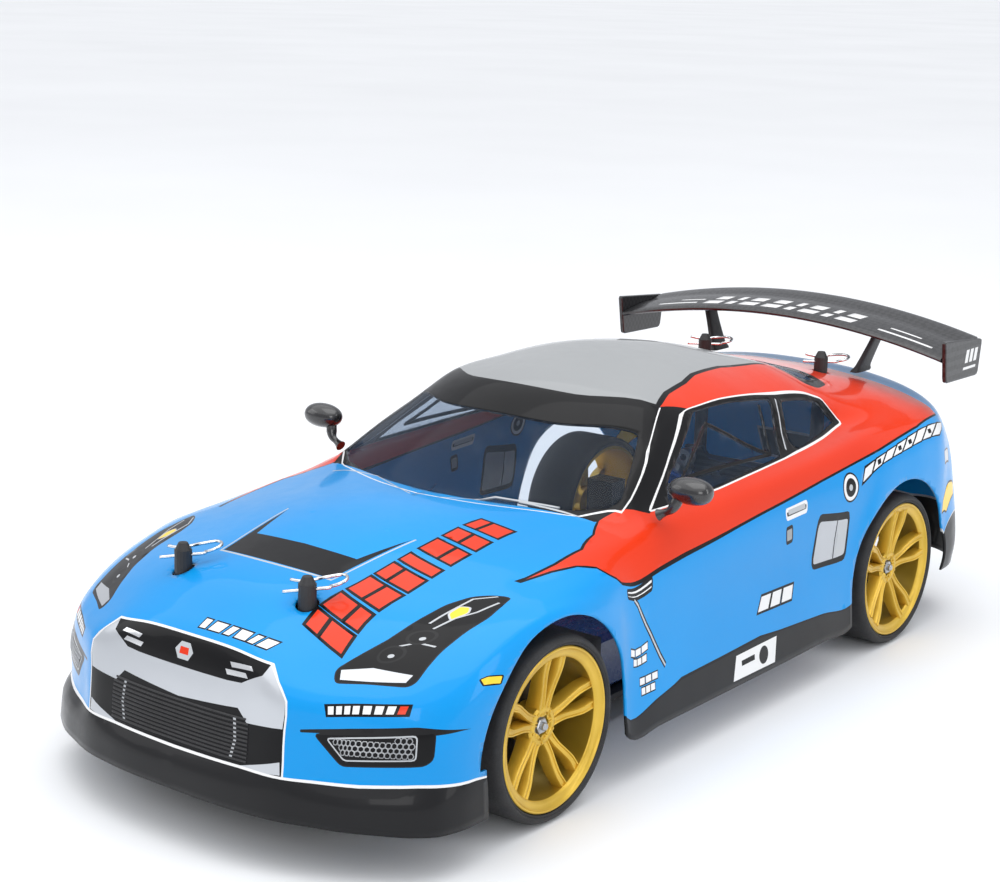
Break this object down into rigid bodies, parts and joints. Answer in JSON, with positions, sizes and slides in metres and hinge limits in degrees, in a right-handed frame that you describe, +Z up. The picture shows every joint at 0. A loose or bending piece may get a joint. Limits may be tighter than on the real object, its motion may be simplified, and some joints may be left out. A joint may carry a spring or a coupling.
{
  "type": "remote control car",
  "caption": "Scale touring car for radio control: painted shell with rear wing, lifted off a four-wheel-drive chassis with sprung arms, steering and clips.",
  "frame": {"origin": "middle of the overall box, on the ground under the tyres", "axes": "+X to the car's left, -Y to its nose, +Z up"},
  "size_m": [0.2036, 0.4506, 0.1415],
  "materials": {
    "shell_paint": "gloss, painted inside clear polycarbonate",
    "gloss_black": "gloss black moulded plastic",
    "nylon": "fine moulded texture",
    "carbon": "satin woven composite plate",
    "foam": "closed-cell foam",
    "battery_wrap": "shrink wrap",
    "steel": "machined",
    "aluminium": "turned, satin",
    "brass": "machined",
    "wire": "bright spring wire",
    "gold": "satin metallic plated plastic",
    "rubber": "smooth slick rubber"
  },
  "bodies": {
    "chassis": {"chassis_plate": "nylon", "upper_deck": "carbon", "front_gearbox": "nylon", "rear_gearbox": "nylon", "front_bumper": "foam", "front_shock_tower": "carbon", "rear_shock_tower": "carbon", "front_body_mount": "nylon", "rear_body_mount": "nylon", "battery": "battery_wrap", "motor": "steel", "speed_controller": "nylon", "steering_servo": "nylon"},
    "shell": {"body_shell": "shell_paint", "wing_blade": "gloss_black", "wing_endplate_left": "gloss_black", "wing_endplate_right": "gloss_black", "wing_strut_left": "gloss_black", "wing_strut_right": "gloss_black", "mirror_left": "gloss_black", "mirror_right": "gloss_black"},
    "drive_line": {"centre_shaft": "steel", "spur_gear": "nylon"},
    "pinion": {"pinion_gear": "brass"},
    "steering_rack": {"steering_rack": "aluminium"},
    "servo_horn": {"servo_horn": "nylon"},
    "arm_front_left": {"lower_arm_front_left": "nylon"},
    "carrier_front_left": {"front_carrier_left": "nylon"},
    "wheel_front_left": {"rim_front_left": "gold", "tyre_front_left": "rubber"},
    "drive_shaft_front_left": {"drive_shaft_front_left": "steel"},
    "shock_body_front_left": {"shock_body_front_left": "aluminium"},
    "shock_rod_front_left": {"shock_rod_front_left": "steel"},
    "knuckle_left": {"steering_knuckle_left": "nylon"},
    "clip_front_left": {"body_clip_front_left": "wire"},
    "arm_front_right": {"lower_arm_front_right": "nylon"},
    "carrier_front_right": {"front_carrier_right": "nylon"},
    "wheel_front_right": {"rim_front_right": "gold", "tyre_front_right": "rubber"},
    "drive_shaft_front_right": {"drive_shaft_front_right": "steel"},
    "shock_body_front_right": {"shock_body_front_right": "aluminium"},
    "shock_rod_front_right": {"shock_rod_front_right": "steel"},
    "knuckle_right": {"steering_knuckle_right": "nylon"},
    "clip_front_right": {"body_clip_front_right": "wire"},
    "arm_rear_left": {"lower_arm_rear_left": "nylon"},
    "carrier_rear_left": {"rear_carrier_left": "nylon"},
    "wheel_rear_left": {"rim_rear_left": "gold", "tyre_rear_left": "rubber"},
    "drive_shaft_rear_left": {"drive_shaft_rear_left": "steel"},
    "shock_body_rear_left": {"shock_body_rear_left": "aluminium"},
    "shock_rod_rear_left": {"shock_rod_rear_left": "steel"},
    "clip_rear_left": {"body_clip_rear_left": "wire"},
    "arm_rear_right": {"lower_arm_rear_right": "nylon"},
    "carrier_rear_right": {"rear_carrier_right": "nylon"},
    "wheel_rear_right": {"rim_rear_right": "gold", "tyre_rear_right": "rubber"},
    "drive_shaft_rear_right": {"drive_shaft_rear_right": "steel"},
    "shock_body_rear_right": {"shock_body_rear_right": "aluminium"},
    "shock_rod_rear_right": {"shock_rod_rear_right": "steel"},
    "clip_rear_right": {"body_clip_rear_right": "wire"}
  },
  "joints": [
    {"name": "drive_spin", "type": "hinge", "parent": "chassis", "child": "drive_line", "pos_m": [0, 0.0055, 0.0344], "axis": [0, 1, 0], "continuous": true},
    {"name": "pinion_spin", "type": "hinge", "parent": "chassis", "child": "pinion", "pos_m": [-0.0258, 0.0695, 0.0312], "axis": [0, 1, 0], "continuous": true},
    {"name": "shell_lift", "type": "slide", "parent": "chassis", "child": "shell", "axis": [0, 0, 1], "range_m": [0, 0.12]},
    {"name": "suspension_front_left", "type": "hinge", "parent": "chassis", "child": "arm_front_left", "pos_m": [0.022, -0.1245, 0.0175], "axis": [0, -1, 0], "range_deg": [-6, 5], "stiffness_Nm_per_rad": 2.2, "springref_deg": -5.96},
    {"name": "carrier_pivot_front_left", "type": "hinge", "parent": "arm_front_left", "child": "carrier_front_left", "pos_m": [0.0639, -0.1245, 0.0175], "axis": [0, -1, 0], "range_deg": [-6, 7]},
    {"name": "steer_left", "type": "hinge", "parent": "carrier_front_left", "child": "knuckle_left", "pos_m": [0.0719, -0.1245, 0.0344], "axis": [0, 0, 1], "range_deg": [-25, 25]},
    {"name": "wheel_spin_front_left", "type": "hinge", "parent": "knuckle_left", "child": "wheel_front_left", "pos_m": [0.08, -0.1245, 0.0344], "axis": [1, 0, 0], "continuous": true},
    {"name": "drive_shaft_spin_front_left", "type": "hinge", "parent": "chassis", "child": "drive_shaft_front_left", "pos_m": [0, -0.1245, 0.0344], "axis": [1, 0, 0], "continuous": true},
    {"name": "shock_swing_front_left", "type": "hinge", "parent": "chassis", "child": "shock_body_front_left", "pos_m": [0.03, -0.1363, 0.064], "axis": [0, -1, 0], "range_deg": [-4, 4]},
    {"name": "shock_slide_front_left", "type": "slide", "parent": "shock_body_front_left", "child": "shock_rod_front_left", "axis": [0.3796, 0, -0.9252], "range_m": [-0.0035, 0.0035]},
    {"name": "clip_pull_front_left", "type": "slide", "parent": "chassis", "child": "clip_front_left", "axis": [0.794, 0.5955, 0.1219], "range_m": [0, 0.02]},
    {"name": "suspension_front_right", "type": "hinge", "parent": "chassis", "child": "arm_front_right", "pos_m": [-0.022, -0.1245, 0.0175], "axis": [0, 1, 0], "range_deg": [-6, 5], "stiffness_Nm_per_rad": 2.2, "springref_deg": -5.96},
    {"name": "carrier_pivot_front_right", "type": "hinge", "parent": "arm_front_right", "child": "carrier_front_right", "pos_m": [-0.0639, -0.1245, 0.0175], "axis": [0, 1, 0], "range_deg": [-6, 7]},
    {"name": "steer_right", "type": "hinge", "parent": "carrier_front_right", "child": "knuckle_right", "pos_m": [-0.0719, -0.1245, 0.0344], "axis": [0, 0, 1], "range_deg": [-25, 25]},
    {"name": "wheel_spin_front_right", "type": "hinge", "parent": "knuckle_right", "child": "wheel_front_right", "pos_m": [-0.08, -0.1245, 0.0344], "axis": [1, 0, 0], "continuous": true},
    {"name": "drive_shaft_spin_front_right", "type": "hinge", "parent": "chassis", "child": "drive_shaft_front_right", "pos_m": [0, -0.1245, 0.0344], "axis": [1, 0, 0], "continuous": true},
    {"name": "shock_swing_front_right", "type": "hinge", "parent": "chassis", "child": "shock_body_front_right", "pos_m": [-0.03, -0.1363, 0.064], "axis": [0, 1, 0], "range_deg": [-4, 4]},
    {"name": "shock_slide_front_right", "type": "slide", "parent": "shock_body_front_right", "child": "shock_rod_front_right", "axis": [-0.3796, 0, -0.9252], "range_m": [-0.0035, 0.0035]},
    {"name": "clip_pull_front_right", "type": "slide", "parent": "chassis", "child": "clip_front_right", "axis": [0.794, 0.5955, 0.1219], "range_m": [0, 0.02]},
    {"name": "suspension_rear_left", "type": "hinge", "parent": "chassis", "child": "arm_rear_left", "pos_m": [0.022, 0.1355, 0.0175], "axis": [0, -1, 0], "range_deg": [-6, 5], "stiffness_Nm_per_rad": 2.2, "springref_deg": -5.96},
    {"name": "carrier_pivot_rear_left", "type": "hinge", "parent": "arm_rear_left", "child": "carrier_rear_left", "pos_m": [0.0639, 0.1355, 0.0175], "axis": [0, -1, 0], "range_deg": [-6, 7]},
    {"name": "wheel_spin_rear_left", "type": "hinge", "parent": "carrier_rear_left", "child": "wheel_rear_left", "pos_m": [0.08, 0.1355, 0.0344], "axis": [1, 0, 0], "continuous": true},
    {"name": "drive_shaft_spin_rear_left", "type": "hinge", "parent": "chassis", "child": "drive_shaft_rear_left", "pos_m": [0, 0.1355, 0.0344], "axis": [1, 0, 0], "continuous": true},
    {"name": "shock_swing_rear_left", "type": "hinge", "parent": "chassis", "child": "shock_body_rear_left", "pos_m": [0.03, 0.1473, 0.064], "axis": [0, -1, 0], "range_deg": [-4, 4]},
    {"name": "shock_slide_rear_left", "type": "slide", "parent": "shock_body_rear_left", "child": "shock_rod_rear_left", "axis": [0.3796, 0, -0.9252], "range_m": [-0.0035, 0.0035]},
    {"name": "clip_pull_rear_left", "type": "slide", "parent": "chassis", "child": "clip_rear_left", "axis": [0.8, 0.6, 0], "range_m": [0, 0.02]},
    {"name": "suspension_rear_right", "type": "hinge", "parent": "chassis", "child": "arm_rear_right", "pos_m": [-0.022, 0.1355, 0.0175], "axis": [0, 1, 0], "range_deg": [-6, 5], "stiffness_Nm_per_rad": 2.2, "springref_deg": -5.96},
    {"name": "carrier_pivot_rear_right", "type": "hinge", "parent": "arm_rear_right", "child": "carrier_rear_right", "pos_m": [-0.0639, 0.1355, 0.0175], "axis": [0, 1, 0], "range_deg": [-6, 7]},
    {"name": "wheel_spin_rear_right", "type": "hinge", "parent": "carrier_rear_right", "child": "wheel_rear_right", "pos_m": [-0.08, 0.1355, 0.0344], "axis": [1, 0, 0], "continuous": true},
    {"name": "drive_shaft_spin_rear_right", "type": "hinge", "parent": "chassis", "child": "drive_shaft_rear_right", "pos_m": [0, 0.1355, 0.0344], "axis": [1, 0, 0], "continuous": true},
    {"name": "shock_swing_rear_right", "type": "hinge", "parent": "chassis", "child": "shock_body_rear_right", "pos_m": [-0.03, 0.1473, 0.064], "axis": [0, 1, 0], "range_deg": [-4, 4]},
    {"name": "shock_slide_rear_right", "type": "slide", "parent": "shock_body_rear_right", "child": "shock_rod_rear_right", "axis": [-0.3796, 0, -0.9252], "range_m": [-0.0035, 0.0035]},
    {"name": "clip_pull_rear_right", "type": "slide", "parent": "chassis", "child": "clip_rear_right", "axis": [0.8, 0.6, 0], "range_m": [0, 0.02]},
    {"name": "rack_slide", "type": "slide", "parent": "chassis", "child": "steering_rack", "axis": [1, 0, 0], "range_m": [-0.0115, 0.0115]},
    {"name": "horn_swing", "type": "hinge", "parent": "chassis", "child": "servo_horn", "pos_m": [-0.02, -0.0831, 0.0238], "axis": [0, 1, 0], "range_deg": [-27, 27]}
  ],
  "couplings": [
    {"joint": "pinion_spin", "follows": "drive_spin", "ratio": -3.3333},
    {"joint": "carrier_pivot_front_left", "follows": "suspension_front_left", "ratio": -1},
    {"joint": "wheel_spin_front_left", "follows": "drive_spin", "ratio": 0.4},
    {"joint": "drive_shaft_spin_front_left", "follows": "drive_spin", "ratio": 0.4},
    {"joint": "shock_swing_front_left", "follows": "suspension_front_left", "ratio": 0.05023},
    {"joint": "shock_slide_front_left", "follows": "suspension_front_left", "m_per_rad": -0.025024},
    {"joint": "carrier_pivot_front_right", "follows": "suspension_front_right", "ratio": -1},
    {"joint": "steer_right", "follows": "steer_left", "ratio": 1},
    {"joint": "wheel_spin_front_right", "follows": "drive_spin", "ratio": 0.4},
    {"joint": "drive_shaft_spin_front_right", "follows": "drive_spin", "ratio": 0.4},
    {"joint": "shock_swing_front_right", "follows": "suspension_front_right", "ratio": 0.05023},
    {"joint": "shock_slide_front_right", "follows": "suspension_front_right", "m_per_rad": -0.025024},
    {"joint": "carrier_pivot_rear_left", "follows": "suspension_rear_left", "ratio": -1},
    {"joint": "wheel_spin_rear_left", "follows": "drive_spin", "ratio": 0.4},
    {"joint": "drive_shaft_spin_rear_left", "follows": "drive_spin", "ratio": 0.4},
    {"joint": "shock_swing_rear_left", "follows": "suspension_rear_left", "ratio": 0.05023},
    {"joint": "shock_slide_rear_left", "follows": "suspension_rear_left", "m_per_rad": -0.025024},
    {"joint": "carrier_pivot_rear_right", "follows": "suspension_rear_right", "ratio": -1},
    {"joint": "wheel_spin_rear_right", "follows": "drive_spin", "ratio": 0.4},
    {"joint": "drive_shaft_spin_rear_right", "follows": "drive_spin", "ratio": 0.4},
    {"joint": "shock_swing_rear_right", "follows": "suspension_rear_right", "ratio": 0.05023},
    {"joint": "shock_slide_rear_right", "follows": "suspension_rear_right", "m_per_rad": -0.025024},
    {"joint": "rack_slide", "follows": "steer_left", "m_per_rad": -0.0254},
    {"joint": "horn_swing", "follows": "steer_left", "ratio": -1}
  ]
}
